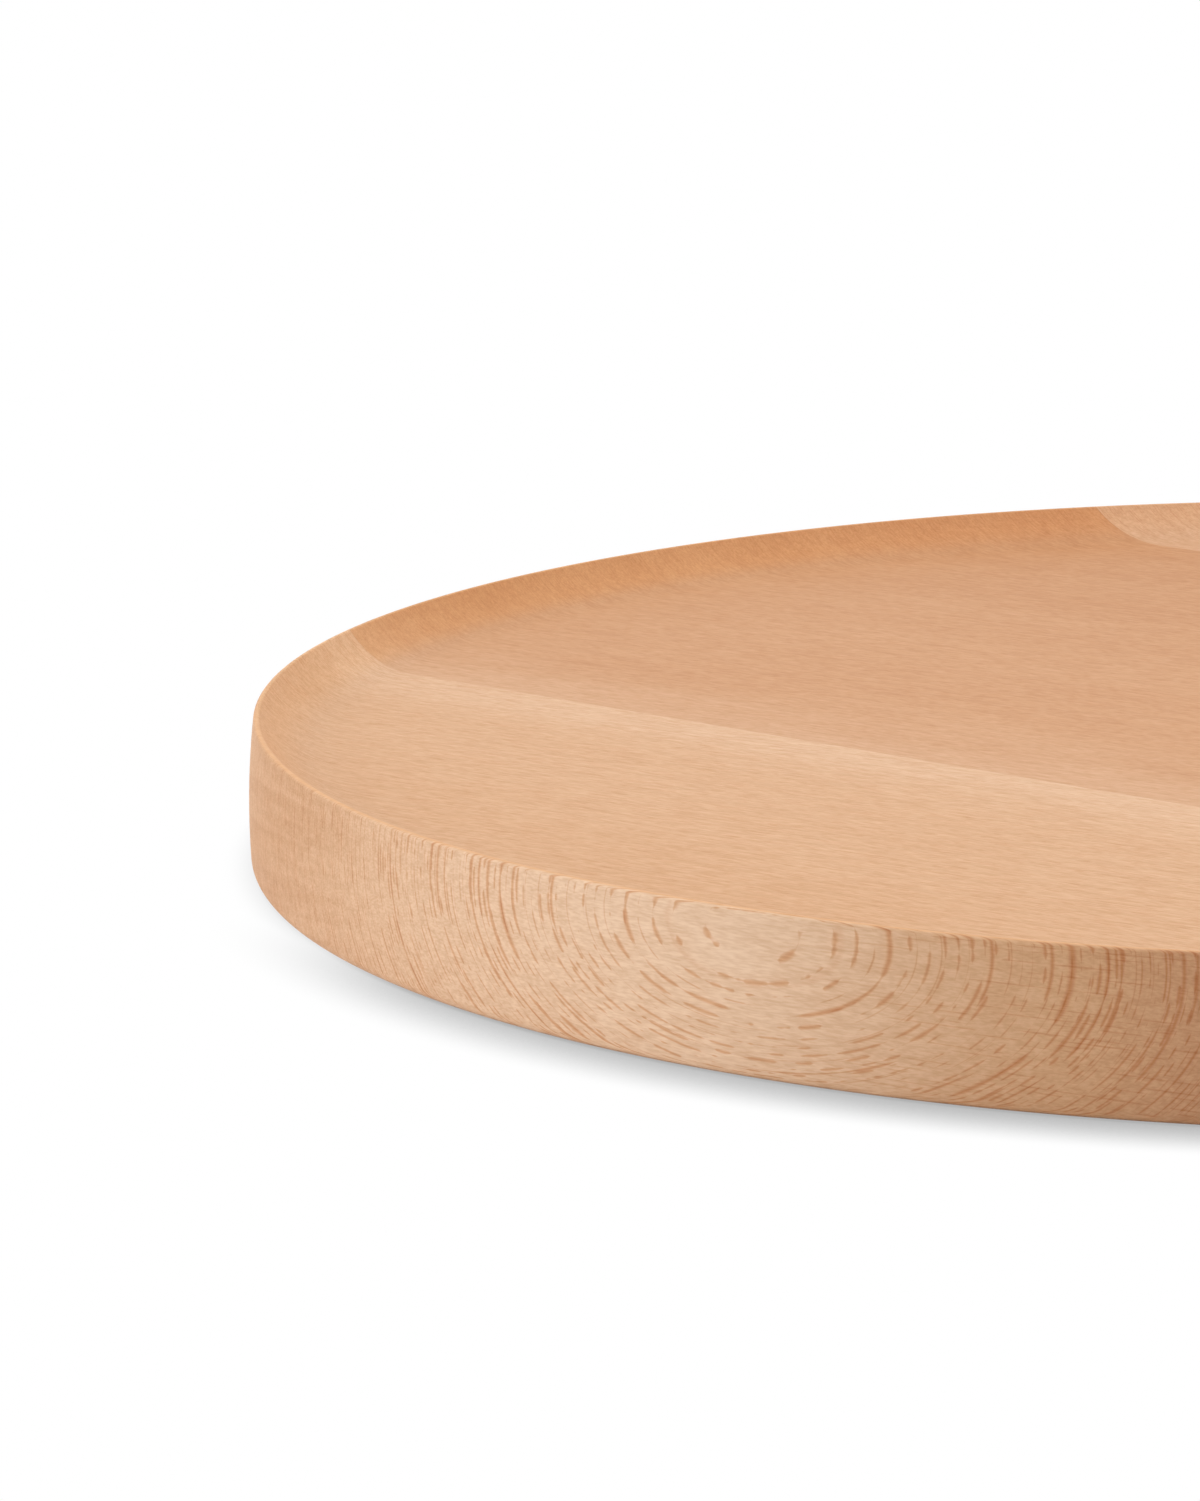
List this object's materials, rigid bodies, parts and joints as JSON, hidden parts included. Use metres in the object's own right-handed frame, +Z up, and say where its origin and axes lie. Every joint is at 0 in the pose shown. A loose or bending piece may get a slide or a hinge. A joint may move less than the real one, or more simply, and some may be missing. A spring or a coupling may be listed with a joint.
{
  "type": "serving board",
  "caption": "Round turned beech serving board with a thin raised rim around a shallow dish, glued up from edge-jointed staves; it lies flat and carries food, plates or glasses.",
  "frame": {"origin": "middle of the flat underside", "axes": "+Z up along the turning axis, +X along the staves, +Y from the front stave towards the back stave"},
  "size_m": [0.35, 0.35, 0.0226],
  "materials": {
    "beech_front": "pale oiled beech, sanded smooth, matt",
    "beech_middle": "pinkish oiled beech, sanded smooth, matt",
    "beech_back": "yellowish oiled beech, sanded smooth, matt",
    "glue": "cured wood glue, flush with the wood"
  },
  "bodies": {
    "root": {"front_stave": "beech_front", "front_glue_line": "glue", "middle_stave": "beech_middle", "back_glue_line": "glue", "back_stave": "beech_back"}
  },
  "joints": []
}
